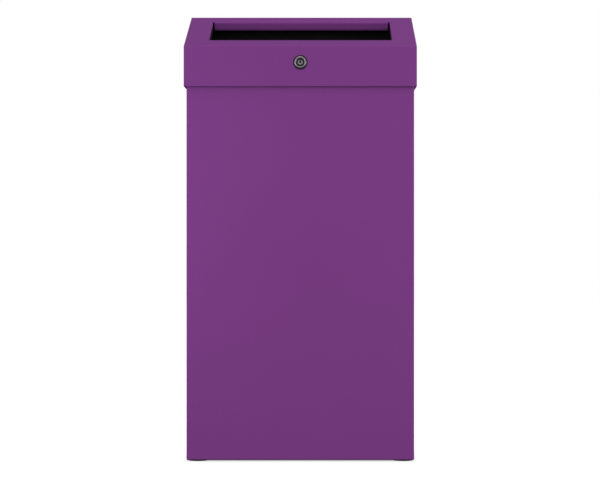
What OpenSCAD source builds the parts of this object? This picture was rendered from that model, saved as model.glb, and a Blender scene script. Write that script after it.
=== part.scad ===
// Steel waste bin: a lockable slotted hood over a folded casing with a lift-out liner.
// Lengths are in millimetres and angles in degrees. Z is up and the front faces -Y.
// The origin is on the floor, at the middle of the space that the bin fills.

/* [Casing] */
// Width across the two sides
body_w = 360; // [320:1:420]
// Depth from the front face to the back panel
body_d = 215; // [205:1:260]
// Height of the casing's rim above the floor
rim_h = 606; // [450:1:700]
// Thickness of the casing and hood sheet
sheet = 1.2; // [1:0.1:1.5]
// Outside radius of the folds
bend_r = 2.5; // [2:0.1:3.5]
// Width of the return behind the front rim
front_return = 20; // [19:0.5:26]
// Width of the returns along the side rims
side_return = 12; // [11:0.5:15]
// Width of the return along the rear rim
rear_return = 12; // [8:0.5:15]
// Width of the flange under the base plate
base_flange = 50; // [40:1:70]
// Width of the flanges that carry the back panel
rear_flange = 15; // [10:0.5:20]

/* [Feet] */
// Gap between the casing and the floor
foot_h = 2; // [1.5:0.1:4]
// Diameter of a foot's disc
foot_d = 31.5; // [24:0.5:36]
// Diameter of a foot's stem
foot_stem_d = 10; // [8:0.5:12]
// From the casing's side to a foot's disc
foot_side = 1.5; // [1:0.5:10]
// From the casing's front or back to a foot's disc
foot_front = 9; // [5:0.5:30]

/* [Hood] */
// Gap between the casing and the hood's skirt
skirt_gap = 3; // [2:0.1:5]
// How far the skirt reaches below the rim
skirt_lap = 13; // [8:0.5:20]
// Height of the upright front face
face_h = 64; // [58:0.5:90]
// Rise of the sloping face from front to back
slope_rise = 66; // [45:1:90]
// Width of the flanges that join the cheeks to the shell
cheek_flange = 12; // [8:0.5:15]
// Gap between the hood's back strip and the casing's rim
back_gap = 2; // [1.5:0.1:3]

/* [Slot] */
// Width of the slot
slot_w = 292; // [200:1:300]
// Length of the slot up the slope
slot_l = 144; // [90:1:150]
// From the front fold to the slot, up the slope
slot_front = 43; // [40:0.5:55]
// Depth of the flanges round the slot
slot_flange = 14; // [6:0.5:15]
// Radius of the relief notches at the slot's corners
relief_r = 2; // [1:0.1:3]

/* [Hinge] */
// From the casing's side to the end of the piano hinge
hinge_inset = 15; // [10:0.5:40]
// Number of knuckles, shared by the two leaves
knuckle_n = 11; // [5:2:21]
// Diameter of the hinge pin
pin_d = 3; // [2.5:0.1:3.5]
// Outside diameter of a knuckle
knuckle_d = 6.4; // [6:0.1:7.5]
// Thickness of a leaf
leaf_t = 1.2; // [0.8:0.1:1.2]
// Width of a leaf from the pin's axis
leaf_w = 22; // [18:0.5:26]
// Rivets in each leaf
leaf_rivets = 5; // [3:1:8]

/* [Lock] */
// Height of the lock's axis above the rim
lock_rise = 24.6; // [24:0.1:28]
// Diameter of the dark gasket round the lock
gasket_d = 22.8; // [20:0.1:26]
// Thickness of the gasket
gasket_t = 0.8; // [0.5:0.1:1.5]
// Diameter of the pale bezel
bezel_d = 19.1; // [18:0.1:19.9]
// Thickness of the bezel
bezel_t = 1.6; // [1.2:0.1:2.5]
// Diameter of the threaded barrel
barrel_d = 16; // [15:0.1:16.5]
// Length of the barrel behind the hood's face
barrel_l = 15.7; // [14:0.1:16]
// Diameter of the plug where it shows
plug_d = 13.3; // [12:0.1:13.5]
// How far the plug lies below the bezel's face
plug_sink = 1; // [0.4:0.1:1.2]
// Diameter of the bright key face
key_face_d = 7.3; // [6:0.1:9]
// Height of the keyway
keyway_h = 4.6; // [3:0.1:5]
// Width of the keyway
keyway_w = 1.4; // [0.8:0.1:2]
// Width across the flats of the lock nut
nut_af = 21; // [20:0.5:22]
// Thickness of the lock nut
nut_t = 5; // [3:0.5:6]
// Reach of the cam from the lock's axis
cam_reach = 23; // [21:0.5:23.5]
// Width of the cam's tongue
cam_w = 14; // [10:0.5:15]
// Thickness of the cam and of the keeper
cam_t = 2; // [1.5:0.1:2.5]
// Width of the keeper
keeper_w = 20; // [16:0.5:26]
// Gap between the locked tongue and the keeper
keeper_gap = 0.8; // [0.4:0.1:1.5]

/* [Liner] */
// Thickness of the liner's sheet
liner_sheet = 0.8; // [0.6:0.1:1]
// Gap between the liner and the returns round it
liner_gap = 4; // [3.5:0.1:6]
// Gap between the base plate and the liner's floor
liner_floor_gap = 8; // [4:0.5:30]
// Width of the liner's rim
liner_rim = 3; // [2:0.1:3.2]
// How far a hanging strip lies over the side return
tab_bearing = 8; // [5:0.5:9]
// Length of a hanging strip
tab_l = 110; // [70:1:114]
// Thickness of a hanging strip
tab_t = 1.5; // [0.8:0.1:2]
// Radius of the liner's upright corners
liner_r = 4; // [2:0.5:8]

/* [Handles] */
// Diameter of the handle's wire
wire_d = 5; // [4:0.1:6]
// Width of a handle
handle_w = 90; // [70:1:110]
// Drop of a handle from its pivot
handle_drop = 44; // [30:1:50]
// Depth of the pivot below the liner's rim
handle_depth = 30; // [24:1:60]
// Length of a saddle
saddle_l = 44; // [36:1:50]
// Height of a saddle's plate
saddle_h = 34; // [30:1:40]

/* [Buffers] */
// Diameter of a rim buffer
buffer_d = 9; // [7:0.5:9.5]
// Height of a rim buffer above the rim
buffer_h = 3.5; // [2.5:0.1:5]
// From the front return to a buffer's axis
buffer_back = 12; // [8:0.5:20]

/* [Hidden] */
$fn = 64;

// Clearances
fit_gap = 0.05;
seat_gap = 0.3;
joint_gap = 0.5;
weld_gap = 0.1;
cut = 1;

// Colours
coat = [0.44, 0.22, 0.47];
black = [0.1, 0.1, 0.11];
zinc = [0.72, 0.73, 0.75];
nickel = [0.78, 0.78, 0.76];

// Overall frame of the bin
hood_w = body_w + 2 * (skirt_gap + sheet);
hood_d = body_d + skirt_gap + sheet;
lock_proud = gasket_t + bezel_t;
front_y = -(lock_proud + hood_d + knuckle_d) / 2 + lock_proud;
case_y = front_y + skirt_gap + sheet;
back_y = case_y + body_d;
skirt_z = rim_h - skirt_lap;
fold_z = skirt_z + face_h;
slope_a = atan(slope_rise / hood_d);

// Base and feet
base_z = foot_h + sheet;
foot_x = body_w / 2 - foot_side - foot_d / 2;
foot_y = [case_y + foot_front + foot_d / 2, back_y - foot_front - foot_d / 2];
foot_barb = 1.5;
foot_barb_h = 4;

// Hinge
hinge_l = body_w - 2 * hinge_inset;
hinge_y = back_y + knuckle_d / 2;
hinge_z = rim_h + back_gap / 2;
knuckle_pitch = hinge_l / knuckle_n;
knuckle_gap = 0.4;
leaf_notch = knuckle_d / 2 + knuckle_gap;
leaf_rivet_edge = 7;
pin_head_d = 4.6;
pin_head_h = 1;

// Rivets
rivet_d = 3.2;
rivet_head_d = 6.2;
rivet_head_h = 1.3;
rivet_tail_d = 4.6;
rivet_tail_h = 1.6;
rivet_reach = 5;

// Lock
lock_z = rim_h + lock_rise;
barrel_gap = 0.1;
plug_shoulder = 4;
plug_neck_d = 11;
key_depth = 5;
bezel_chamfer = 0.7;
washer_t = 1;
cam_hub_d = 17;
drive_w = 7.5;
cam_y = front_y + barrel_l + seat_gap;
cam_washer_d = 11;
cam_bolt_d = 4;
cam_bolt_l = 5;
cam_head_d = 8.5;
cam_head_h = 2.6;
nut_corner = nut_af / sqrt(3);
keeper_nut_gap = 2;
keeper_web_gap = 3.6;
keeper_overhang = 2;
keeper_x = nut_corner + keeper_nut_gap;
keeper_y = cam_y - cam_t - keeper_web_gap;
keeper_depth = 2 * cam_t + keeper_web_gap + keeper_overhang;
keeper_shelf_z = lock_z + cam_w / 2 + keeper_gap;

// Liner
liner_w = body_w - 2 * (side_return + liner_gap);
liner_y = [case_y + front_return + liner_gap, back_y - rear_return - liner_gap];
liner_d = liner_y[1] - liner_y[0];
liner_mid = (liner_y[0] + liner_y[1]) / 2;
liner_z = base_z + sheet + liner_floor_gap;
liner_rim_z = rim_h + seat_gap;
liner_top = liner_rim_z + liner_sheet;
liner_lip = 8;
liner_lip_r = 1;

// Handles
pivot_z = liner_top - handle_depth;
saddle_bore = wire_d / 2 + fit_gap;
saddle_wall = 1.5;
saddle_r = saddle_bore + saddle_wall;
saddle_t = 1.2;
saddle_rivet_end = 8;
saddle_rivet_edge = 5;
pivot_x = liner_w / 2 - liner_sheet - saddle_r;
wire_bend = 8;
wire_end_gap = 8;

// Buffers and rests
buffer_x = body_w / 2 - (sheet + side_return) / 2;
buffer_y = case_y + front_return + buffer_back;
buffer_stem_d = 4;
rest_w = 20;
rest_h = 18;
rest_z = rim_h + buffer_h + seat_gap;

// Rectangle with round corners, centred across and starting at y = 0
module plan(w, d, r) {
    translate([-w / 2 + r, 0]) square([w - 2 * r, d]);
    translate([-w / 2, r]) square([w, d - 2 * r]);
    for (x = [-w / 2 + r, w / 2 - r], y = [r, d - r]) translate([x, y]) circle(r);
}

// Box between two corners
module block(low, high) {
    translate(low) cube(high - low);
}

// Extrudes a section drawn as (y, z) along X, centred
module along_x(w) {
    rotate([90, 0, 90]) linear_extrude(w, center = true) children();
}

// Places the lock's pieces: Z runs backwards from the hood's face along the lock's axis
module at_lock() {
    translate([0, front_y, lock_z]) rotate([-90, 0, 0]) children();
}

// Places pieces on the slope: Y runs up the slope from the front fold and Z points outwards
module on_slope() {
    translate([0, front_y, fold_z]) rotate([slope_a, 0, 0]) children();
}

// Blind rivet: its head rests on z = 0 and its tail lies below the gripped sheets
module rivet(grip) {
    dome = (pow(rivet_head_d / 2, 2) + pow(rivet_head_h, 2)) / (2 * rivet_head_h);
    intersection() {
        translate([0, 0, rivet_head_h - dome]) sphere(dome);
        cylinder(h = rivet_head_h, d = rivet_head_d);
    }
    translate([0, 0, -grip]) cylinder(h = grip, d = rivet_d);
    translate([0, 0, -grip - rivet_tail_h]) cylinder(h = rivet_tail_h, d = rivet_tail_d);
}

// Hole that a rivet's shank passes through, along Z
module rivet_hole() {
    translate([0, 0, -rivet_reach]) cylinder(h = 2 * rivet_reach, r = rivet_d / 2 + fit_gap);
}

// Casing

module wrap_section() {
    wall_d = body_d - sheet;
    difference() {
        plan(body_w, wall_d, bend_r);
        translate([0, sheet]) plan(body_w - 2 * sheet, wall_d - 2 * sheet, bend_r - sheet);
        translate([-body_w / 2 + rear_flange, wall_d - 2 * sheet]) square([body_w - 2 * rear_flange, body_d]);
    }
}

// In-turned ring of returns at the rim or of flanges under the base, open behind
module return_ring(front, side) {
    opening_w = body_w - 2 * side;
    linear_extrude(sheet) difference() {
        plan(body_w, body_d - sheet, bend_r);
        translate([-opening_w / 2, front]) square([opening_w, body_d]);
        for (end = [-1, 1]) mitre_slit(end, front, side);
    }
}

// Slit between two returns where they meet at a corner
module mitre_slit(end, front, side) {
    slit_l = norm([front, side]) - bend_r - 2 * sheet;
    translate([end * opening_x(side), front])
        rotate([0, 0, end * atan(side / front) - 180])
            translate([-joint_gap / 2, -cut]) square([joint_gap, slit_l + cut]);
}
function opening_x(side) = body_w / 2 - side;

module casing_wrap() {
    color(coat) difference() {
        translate([0, case_y, 0]) {
            translate([0, 0, foot_h]) linear_extrude(rim_h - foot_h) wrap_section();
            translate([0, 0, rim_h - sheet]) return_ring(front_return, side_return);
            translate([0, 0, foot_h]) return_ring(base_flange, base_flange);
        }
        at_feet() foot_hole();
        at_buffers() buffer_hole();
        at_keeper_rivets() rivet_hole();
    }
}

module back_panel() {
    return_x = body_w / 2 - max(rear_flange, side_return) - joint_gap;
    flange_x = body_w / 2 - base_flange - joint_gap;
    color(coat) difference() {
        union() {
            block([-body_w / 2 + bend_r, back_y - sheet, foot_h], [body_w / 2 - bend_r, back_y, rim_h]);
            block([-return_x, back_y - rear_return, rim_h - sheet], [return_x, back_y, rim_h]);
            block([-flange_x, back_y - rear_return, foot_h], [flange_x, back_y, foot_h + sheet]);
        }
        at_leaf_rivets(-1) rivet_hole();
    }
}

module base_plate() {
    plate_d = body_d - 3 * sheet - 2 * weld_gap;
    color(coat) difference() {
        translate([0, case_y + sheet + weld_gap, base_z]) linear_extrude(sheet)
            plan(body_w - 2 * (sheet + weld_gap), plate_d, bend_r);
        at_feet() foot_hole();
    }
}

// Feet

module at_feet() {
    for (x = [-foot_x, foot_x], y = foot_y) translate([x, y, 0]) children();
}

module foot_hole() {
    cylinder(h = base_z + sheet + cut, r = foot_stem_d / 2 + fit_gap);
}

module rubber_feet() {
    stem_top = base_z + sheet;
    edge = 0.5;
    color(black) at_feet() {
        cylinder(h = edge, d1 = foot_d - 2 * edge, d2 = foot_d);
        translate([0, 0, edge]) cylinder(h = foot_h - edge, d = foot_d);
        cylinder(h = stem_top, d = foot_stem_d);
        translate([0, 0, stem_top])
            cylinder(h = foot_barb_h, d1 = foot_stem_d + 2 * foot_barb, d2 = foot_stem_d - foot_barb);
    }
}

// Buffers and the brackets that land on them

module at_buffers() {
    for (x = [-buffer_x, buffer_x]) translate([x, buffer_y, rim_h]) children();
}

module buffer_hole() {
    translate([0, 0, -sheet - cut]) cylinder(h = sheet + 2 * cut, r = buffer_stem_d / 2 + fit_gap);
}

module rim_buffers() {
    edge = 1;
    barb = 1;
    barb_h = 2.5;
    color(black) at_buffers() {
        cylinder(h = buffer_h - edge, d = buffer_d);
        translate([0, 0, buffer_h - edge]) cylinder(h = edge, d1 = buffer_d, d2 = buffer_d - 2 * edge);
        translate([0, 0, -sheet]) cylinder(h = sheet, d = buffer_stem_d);
        translate([0, 0, -sheet - barb_h])
            cylinder(h = barb_h, d1 = buffer_stem_d - barb, d2 = buffer_stem_d + 2 * barb);
    }
}

module hood_rest(side) {
    inner_x = buffer_x - buffer_d / 2;
    cheek_x = hood_w / 2 - sheet;
    low = [inner_x, buffer_y - rest_w / 2, rest_z];
    mirror([side < 0 ? 1 : 0, 0, 0]) {
        block(low, [cheek_x, buffer_y + rest_w / 2, rest_z + sheet]);
        block([cheek_x - sheet, low[1], rest_z], [cheek_x, buffer_y + rest_w / 2, rest_z + rest_h]);
    }
}

module hood_rest_left() {
    color(coat) hood_rest(-1);
}

module hood_rest_right() {
    color(coat) hood_rest(1);
}

// Lock keeper

module at_keeper_rivets() {
    for (share = [0.25, 0.75])
        translate([keeper_x + keeper_w * share, keeper_y + cam_t + keeper_depth / 2, rim_h + cam_t])
            children();
}

module lock_keeper() {
    side_x = keeper_x + keeper_w;
    web_y = keeper_y + cam_t;
    color(zinc) difference() {
        union() {
            block([keeper_x, keeper_y, rim_h], [side_x, web_y, keeper_shelf_z + cam_t]);
            for (z = [rim_h, keeper_shelf_z])
                block([keeper_x, keeper_y, z], [side_x, web_y + keeper_depth, z + cam_t]);
        }
        at_keeper_rivets() rivet_hole();
    }
}

module keeper_rivets() {
    color(zinc) at_keeper_rivets() rivet(cam_t + sheet);
}

// Hood

// Side outline of the hood drawn in by inset, as (y, z) with y from the hood's front face
module hood_outline(inset, low) {
    r = max(bend_r - inset, 0.3);
    up = [-sin(slope_a), cos(slope_a)];
    front = [inset + r, fold_z + (inset + r) * (tan(slope_a) - 1 / cos(slope_a))];
    back_at = hood_d - inset - r;
    back = [back_at, fold_z + back_at * tan(slope_a) - (inset + r) / cos(slope_a)];
    polygon([
        [inset, low], [inset, front[1]], front + r * up,
        back + r * up, [hood_d - inset, back[1]], [hood_d - inset, low]
    ]);
    translate(front) circle(r);
    translate(back) circle(r);
}

// Band of one sheet's thickness inside the outline, with its back strip cut off above the rim
module hood_band(inset) {
    difference() {
        hood_outline(inset, skirt_z);
        hood_outline(inset + sheet, skirt_z - cut);
        translate([hood_d / 2, skirt_z - cut]) square([hood_d, skirt_lap + back_gap + cut]);
    }
}

module hood_shell() {
    flange_z = -slot_flange;
    flange_top = -sheet / 2;
    slot_x = slot_w / 2;
    slot_end = slot_front + slot_l;
    relief = relief_r + sheet;
    color(coat) {
        difference() {
            translate([0, front_y, 0]) along_x(hood_w - 2 * sheet) hood_band(0);
            on_slope() {
                block([-slot_x, slot_front, -sheet - cut], [slot_x, slot_end, cut]);
                for (x = [-slot_x, slot_x], y = [slot_front, slot_end])
                    translate([x, y, -sheet - cut]) cylinder(h = sheet + 2 * cut, r = relief_r);
            }
            at_lock() translate([0, 0, -cut]) cylinder(h = sheet + 2 * cut, r = barrel_d / 2 + barrel_gap);
            at_leaf_rivets(1) rivet_hole();
        }
        on_slope() {
            for (x = [-slot_x - sheet, slot_x])
                block([x, slot_front + relief, flange_z], [x + sheet, slot_end - relief, flange_top]);
            for (y = [slot_front - sheet, slot_end])
                block([-slot_x + relief, y, flange_z], [slot_x - relief, y + sheet, flange_top]);
        }
    }
}

// Cheek of the hood: a side plate with flanges under the shell
module hood_cheek(side) {
    plate_x = (hood_w - sheet) / 2;
    flange_x = hood_w / 2 - sheet - cheek_flange / 2;
    mirror([side < 0 ? 1 : 0, 0, 0]) translate([0, front_y, 0]) {
        translate([plate_x, 0, 0]) along_x(sheet) hood_outline(0, skirt_z);
        translate([flange_x, 0, 0]) along_x(cheek_flange) hood_band(sheet);
    }
}

module hood_cheek_left() {
    color(coat) hood_cheek(-1);
}

module hood_cheek_right() {
    color(coat) hood_cheek(1);
}

// Hinge

// Rivets of the leaf above (1) or below (-1) the pin, with Z pointing backwards out of the leaf
module at_leaf_rivets(way) {
    span = hinge_l - 2 * knuckle_pitch;
    z = hinge_z + way * (leaf_w - leaf_rivet_edge);
    for (i = [0:leaf_rivets - 1])
        translate([-span / 2 + span * i / (leaf_rivets - 1), back_y + leaf_t, z])
            rotate([-90, 0, 0]) children();
}

function knuckle_x(i) = -hinge_l / 2 + knuckle_pitch * (i + 0.5);

// One leaf with every second knuckle, starting at the first
module hinge_leaf(way, first) {
    edge = [hinge_z + way * leaf_notch, hinge_z + way * leaf_w];
    difference() {
        union() {
            block([-hinge_l / 2, back_y, min(edge)], [hinge_l / 2, back_y + leaf_t, max(edge)]);
            for (i = [first:2:knuckle_n - 1]) translate([knuckle_x(i), 0, 0]) {
                length = knuckle_pitch - knuckle_gap;
                translate([-length / 2, hinge_y, hinge_z]) rotate([0, 90, 0])
                    cylinder(h = length, d = knuckle_d);
                block([-length / 2, back_y, min(hinge_z, edge[0] + way * cut)],
                    [length / 2, back_y + leaf_t, max(hinge_z, edge[0] + way * cut)]);
            }
        }
        translate([-hinge_l / 2 - cut, hinge_y, hinge_z]) rotate([0, 90, 0])
            cylinder(h = hinge_l + 2 * cut, r = pin_d / 2 + fit_gap);
        at_leaf_rivets(way) rivet_hole();
    }
}

module hinge_leaf_casing() {
    color(zinc) hinge_leaf(-1, 0);
}

module hinge_leaf_hood() {
    color(zinc) hinge_leaf(1, 1);
}

module hinge_pin() {
    color(zinc) translate([-hinge_l / 2, hinge_y, hinge_z]) rotate([0, 90, 0]) {
        cylinder(h = hinge_l, d = pin_d);
        for (z = [-pin_head_h, hinge_l]) translate([0, 0, z]) cylinder(h = pin_head_h, d = pin_head_d);
    }
}

module casing_hinge_rivets() {
    color(zinc) at_leaf_rivets(-1) rivet(leaf_t + sheet);
}

module hood_hinge_rivets() {
    color(zinc) at_leaf_rivets(1) rivet(leaf_t + sheet);
}

// Lock: in these modules z = 0 is the hood's outer face and z grows backwards

module lock_gasket() {
    color(black) at_lock() difference() {
        translate([0, 0, -gasket_t]) cylinder(h = gasket_t, d = gasket_d);
        translate([0, 0, -gasket_t - cut]) cylinder(h = gasket_t + 2 * cut, r = barrel_d / 2 + fit_gap);
    }
}

module lock_housing() {
    color(nickel) at_lock() difference() {
        union() {
            translate([0, 0, -lock_proud])
                cylinder(h = bezel_chamfer, d1 = bezel_d - 2 * bezel_chamfer, d2 = bezel_d);
            translate([0, 0, bezel_chamfer - lock_proud]) cylinder(h = bezel_t - bezel_chamfer, d = bezel_d);
            translate([0, 0, -gasket_t]) cylinder(h = gasket_t + barrel_l, d = barrel_d);
        }
        translate([0, 0, -lock_proud - cut])
            cylinder(h = lock_proud + plug_shoulder + cut, r = plug_d / 2 + fit_gap);
        cylinder(h = barrel_l + cut, r = plug_neck_d / 2 + fit_gap);
    }
}

module lock_washer() {
    color(zinc) at_lock() difference() {
        translate([0, 0, sheet]) cylinder(h = washer_t, d = nut_af);
        cylinder(h = sheet + washer_t + cut, r = barrel_d / 2 + barrel_gap);
    }
}

module lock_nut() {
    color(zinc) at_lock() difference() {
        translate([0, 0, sheet + washer_t]) cylinder(h = nut_t, r = nut_corner, $fn = 6);
        cylinder(h = sheet + washer_t + nut_t + cut, r = barrel_d / 2 + fit_gap);
    }
}

module lock_plug() {
    face_z = plug_sink - lock_proud;
    color(black) at_lock() difference() {
        union() {
            translate([0, 0, face_z]) cylinder(h = plug_shoulder - face_z - fit_gap, d = plug_d);
            translate([0, 0, face_z]) cylinder(h = barrel_l + seat_gap - face_z, d = plug_neck_d);
            translate([-drive_w / 2, -drive_w / 2, barrel_l]) cube([drive_w, drive_w, seat_gap + cam_t]);
        }
        translate([0, 0, face_z - cut]) cylinder(h = key_depth + cut, d = key_face_d);
        translate([0, 0, barrel_l - cam_bolt_l])
            cylinder(h = cam_bolt_l + seat_gap + cam_t + cut, d = cam_bolt_d);
    }
}

module lock_key_face() {
    face_z = plug_sink - lock_proud;
    end_t = 1;
    color(nickel) at_lock() difference() {
        translate([0, 0, face_z]) cylinder(h = key_depth, d = key_face_d);
        translate([-keyway_w / 2, -keyway_h / 2, face_z - cut])
            cube([keyway_w, keyway_h, key_depth + cut - end_t]);
    }
}

module lock_cam() {
    gap = fit_gap;
    color(zinc) at_lock() translate([0, 0, barrel_l + seat_gap]) difference() {
        union() {
            cylinder(h = cam_t, d = cam_hub_d);
            intersection() {
                translate([-cam_w / 2, 0, 0]) cube([cam_w, cam_reach, cam_t]);
                cylinder(h = cam_t, r = cam_reach);
            }
        }
        translate([-drive_w / 2 - gap, -drive_w / 2 - gap, -cut])
            cube([drive_w + 2 * gap, drive_w + 2 * gap, cam_t + 2 * cut]);
    }
}

module cam_washer() {
    color(zinc) at_lock() translate([0, 0, barrel_l + seat_gap + cam_t]) difference() {
        cylinder(h = washer_t, d = cam_washer_d);
        translate([0, 0, -cut]) cylinder(h = washer_t + 2 * cut, r = cam_bolt_d / 2 + fit_gap);
    }
}

module cam_screw() {
    shank_l = washer_t + cam_t + cam_bolt_l;
    head_z = barrel_l + seat_gap + cam_t + washer_t;
    taper = 0.8;
    cross = [5, 1, 1.2];
    color(zinc) at_lock() difference() {
        union() {
            translate([0, 0, head_z]) cylinder(h = cam_head_h, d1 = cam_head_d, d2 = cam_head_d - 2 * taper);
            translate([0, 0, head_z - shank_l]) cylinder(h = shank_l, d = cam_bolt_d);
        }
        for (turn = [0, 90]) rotate([0, 0, turn])
            translate([-cross.x / 2, -cross.y / 2, head_z + cam_head_h - cross.z]) cube(cross + [0, 0, cut]);
    }
}

// Liner

module liner_walls() {
    inner_w = liner_w - 2 * liner_sheet;
    inner_d = liner_d - 2 * liner_sheet;
    notch_half = tab_l / 2 + weld_gap;
    color(black) difference() {
        union() {
            translate([0, liner_y[0], liner_z]) linear_extrude(liner_top - liner_z)
                plan(liner_w, liner_d, liner_r);
            difference() {
                translate([0, liner_y[0] - liner_rim, liner_rim_z]) linear_extrude(liner_sheet)
                    plan(liner_w + 2 * liner_rim, liner_d + 2 * liner_rim, liner_r + liner_rim);
                block([-liner_w, liner_mid - notch_half, liner_rim_z - cut],
                    [liner_w, liner_mid + notch_half, liner_top + cut]);
            }
        }
        translate([0, liner_y[0] + liner_sheet, liner_z + liner_sheet]) linear_extrude(rim_h)
            plan(inner_w, inner_d, liner_r - liner_sheet);
        translate([0, liner_y[0] + liner_lip, liner_z - cut]) linear_extrude(rim_h)
            plan(liner_w - 2 * liner_lip, liner_d - 2 * liner_lip, liner_lip_r);
        at_saddle_rivets() rivet_hole();
    }
}

module liner_floor() {
    gap = weld_gap + liner_sheet;
    color(black) translate([0, liner_y[0] + gap, liner_z + liner_sheet]) linear_extrude(liner_sheet)
        plan(liner_w - 2 * gap, liner_d - 2 * gap, liner_r - liner_sheet);
}

// Strips welded to the walls between the ends of the rim, which hang on the side returns
module liner_tabs() {
    tab_x = body_w / 2 - side_return + tab_bearing;
    color(black) for (side = [-1, 1]) mirror([side < 0 ? 1 : 0, 0, 0])
        block([liner_w / 2, liner_mid - tab_l / 2, liner_rim_z],
            [tab_x, liner_mid + tab_l / 2, liner_rim_z + tab_t]);
}

// Handles and their saddles

// Rivets of both saddles, with Z pointing into the liner
module at_saddle_rivets() {
    for (side = [-1, 1]) mirror([side < 0 ? 1 : 0, 0, 0]) at_right_saddle_rivets() children();
}

module at_right_saddle_rivets() {
    plate_x = liner_w / 2 - liner_sheet - saddle_t;
    at_y = saddle_l / 2 - saddle_rivet_end;
    at_z = saddle_h / 2 - saddle_rivet_edge;
    for (y = [-at_y, at_y], z = [-at_z, at_z])
        translate([plate_x, liner_mid + y, pivot_z + z]) rotate([0, -90, 0]) children();
}

module handle_saddle(side) {
    wall_x = liner_w / 2 - liner_sheet;
    half_l = saddle_l / 2;
    half_h = saddle_h / 2;
    mirror([side < 0 ? 1 : 0, 0, 0]) difference() {
        union() {
            block([wall_x - saddle_t, liner_mid - half_l, pivot_z - half_h],
                [wall_x, liner_mid + half_l, pivot_z + half_h]);
            translate([pivot_x, liner_mid + half_l, pivot_z]) rotate([90, 0, 0])
                cylinder(h = saddle_l, r = saddle_r);
        }
        translate([pivot_x, liner_mid + half_l + cut, pivot_z]) rotate([90, 0, 0])
            cylinder(h = saddle_l + 2 * cut, r = saddle_bore);
        at_right_saddle_rivets() rivet_hole();
    }
}

module handle_saddle_left() {
    color(zinc) handle_saddle(-1);
}

module handle_saddle_right() {
    color(zinc) handle_saddle(1);
}

module saddle_rivets() {
    color(zinc) at_saddle_rivets() rivet(saddle_t + liner_sheet);
}

// Wire handle hanging from its pivot, with its ends turned in
module handle(side) {
    arm_y = handle_w / 2 - wire_d / 2;
    foot = arm_y - wire_bend;
    drop = handle_drop - wire_d / 2;
    translate([side * pivot_x, liner_mid, pivot_z]) {
        for (end = [0, 1]) mirror([0, end, 0]) {
            translate([0, foot, 0]) rotate([90, 0, 0]) cylinder(h = foot - wire_end_gap, d = wire_d);
            wire_elbow([0, foot, -wire_bend], 0);
            translate([0, arm_y, -drop + wire_bend]) cylinder(h = drop - 2 * wire_bend, d = wire_d);
            wire_elbow([0, foot, -drop + wire_bend], -90);
        }
        translate([0, foot, -drop]) rotate([90, 0, 0]) cylinder(h = 2 * foot, d = wire_d);
    }
}

// Quarter bend of the wire about the given centre
module wire_elbow(centre, turn) {
    translate(centre) rotate([turn, 0, 0]) rotate([90, 0, 90])
        rotate_extrude(angle = 90) translate([wire_bend, 0]) circle(d = wire_d);
}

module handle_left() {
    color(zinc) handle(-1);
}

module handle_right() {
    color(zinc) handle(1);
}

casing_wrap();
back_panel();
base_plate();
rubber_feet();
lock_keeper();
keeper_rivets();
rim_buffers();
hinge_leaf_casing();
hinge_pin();
casing_hinge_rivets();
hood_shell();
hood_cheek_left();
hood_cheek_right();
hood_rest_left();
hood_rest_right();
hinge_leaf_hood();
hood_hinge_rivets();
lock_gasket();
lock_housing();
lock_washer();
lock_nut();
lock_plug();
lock_key_face();
lock_cam();
cam_washer();
cam_screw();
liner_walls();
liner_floor();
liner_tabs();
handle_saddle_left();
handle_saddle_right();
saddle_rivets();
handle_left();
handle_right();
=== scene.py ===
import math

import bmesh
import bpy
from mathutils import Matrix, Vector


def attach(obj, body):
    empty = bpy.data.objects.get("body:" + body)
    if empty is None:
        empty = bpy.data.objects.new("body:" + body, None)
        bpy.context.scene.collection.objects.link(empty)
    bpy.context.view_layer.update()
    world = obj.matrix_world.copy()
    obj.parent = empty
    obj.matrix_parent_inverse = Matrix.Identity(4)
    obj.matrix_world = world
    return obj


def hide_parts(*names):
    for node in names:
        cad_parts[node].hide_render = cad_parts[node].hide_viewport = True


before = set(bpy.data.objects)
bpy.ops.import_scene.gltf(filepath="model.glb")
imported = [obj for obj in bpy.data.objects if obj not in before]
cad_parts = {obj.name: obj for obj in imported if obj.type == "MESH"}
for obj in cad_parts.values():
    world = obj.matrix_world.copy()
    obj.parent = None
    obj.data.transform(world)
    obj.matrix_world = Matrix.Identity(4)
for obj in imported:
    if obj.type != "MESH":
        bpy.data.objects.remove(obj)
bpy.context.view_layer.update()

scene = bpy.context.scene

# Studio, which is not part of the bin: a wide white floor under soft white light, like a product
# picture cut out on white, with a painted shadow right under the bin, where its glow is turned down. Most of
# the light comes from the bright room in front, with soft lamps around and above. The camera is level.


def add_node(tree, kind, **values):
    node = tree.nodes.new(kind)
    for name, value in values.items():
        node.inputs[name.replace("_", " ")].default_value = value
    return node


def paint(red, green, blue):
    """A colour given as it looks on screen, from 0 to 255."""
    parts = []
    for level in (red, green, blue):
        level = level / 255
        parts.append(level / 12.92 if level < 0.04045 else ((level + 0.055) / 1.055) ** 2.4)
    return (*parts, 1)


floor_shape = bmesh.new()
bmesh.ops.create_circle(floor_shape, cap_ends=True, segments=96, radius=9)
floor_mesh = bpy.data.meshes.new("floor")
floor_shape.to_mesh(floor_mesh)
floor_shape.free()
floor = bpy.data.objects.new("floor", floor_mesh)
scene.collection.objects.link(floor)
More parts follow.
